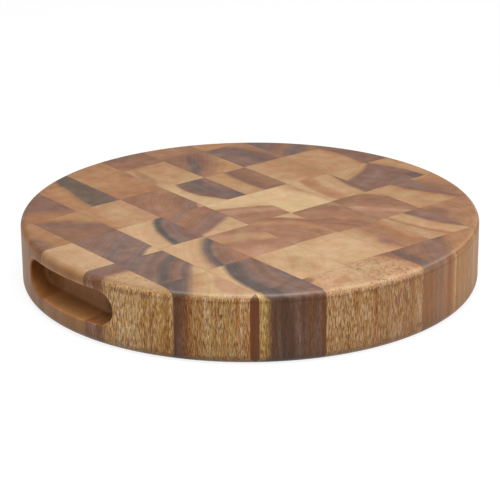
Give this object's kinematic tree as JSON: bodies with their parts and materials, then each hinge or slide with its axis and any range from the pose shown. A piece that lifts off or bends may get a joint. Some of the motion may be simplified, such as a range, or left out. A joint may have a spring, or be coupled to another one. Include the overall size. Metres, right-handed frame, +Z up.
{
  "type": "round chopping block",
  "caption": "Round end-grain wooden chopping block, glued up from upright staves in straight strips, with rounded edges and finger recesses in the rim for lifting.",
  "frame": {"origin": "centre of the block's underside, on the surface that it stands on", "axes": "+Z up through the block's thickness; the strips run along Y; the finger recesses face -X and +X, turned 0.4 degrees about Z from square to the strips"},
  "size_m": [0.4, 0.4, 0.06],
  "materials": {
    "pale_wood": "oiled satin",
    "mid_wood": "oiled satin",
    "dark_wood": "oiled satin"
  },
  "bodies": {
    "root": {"stave_a2": "mid_wood", "stave_a3": "mid_wood", "stave_a4": "pale_wood", "stave_a5": "mid_wood", "stave_a6": "pale_wood", "stave_b1": "dark_wood", "stave_b2": "mid_wood", "stave_b3": "dark_wood", "stave_b4": "dark_wood", "stave_b5": "dark_wood", "stave_b6": "pale_wood", "stave_b7": "dark_wood", "stave_c1": "mid_wood", "stave_c2": "mid_wood", "stave_c3": "pale_wood", "stave_c4": "mid_wood", "stave_c5": "mid_wood", "stave_c6": "dark_wood", "stave_c7": "dark_wood", "stave_d1": "mid_wood", "stave_d2": "mid_wood", "stave_d3": "dark_wood", "stave_d4": "dark_wood", "stave_d5": "mid_wood", "stave_d6": "pale_wood", "stave_d7": "pale_wood", "stave_e1": "dark_wood", "stave_e2": "pale_wood", "stave_e3": "dark_wood", "stave_e4": "pale_wood", "stave_e5": "mid_wood", "stave_e6": "pale_wood", "stave_e7": "mid_wood", "stave_f1": "mid_wood", "stave_f2": "mid_wood", "stave_f3": "dark_wood", "stave_f4": "pale_wood", "stave_f5": "mid_wood", "stave_f6": "mid_wood", "stave_f7": "dark_wood", "stave_g1": "pale_wood", "stave_g2": "dark_wood", "stave_g3": "pale_wood", "stave_g4": "pale_wood", "stave_g5": "mid_wood", "stave_g6": "mid_wood", "stave_g7": "mid_wood", "stave_h1": "dark_wood", "stave_h2": "dark_wood", "stave_h3": "pale_wood", "stave_h4": "dark_wood", "stave_h5": "mid_wood", "stave_h6": "mid_wood", "stave_h7": "dark_wood", "stave_i2": "dark_wood", "stave_i3": "dark_wood", "stave_i4": "dark_wood", "stave_i5": "dark_wood", "stave_i6": "mid_wood"}
  },
  "joints": []
}
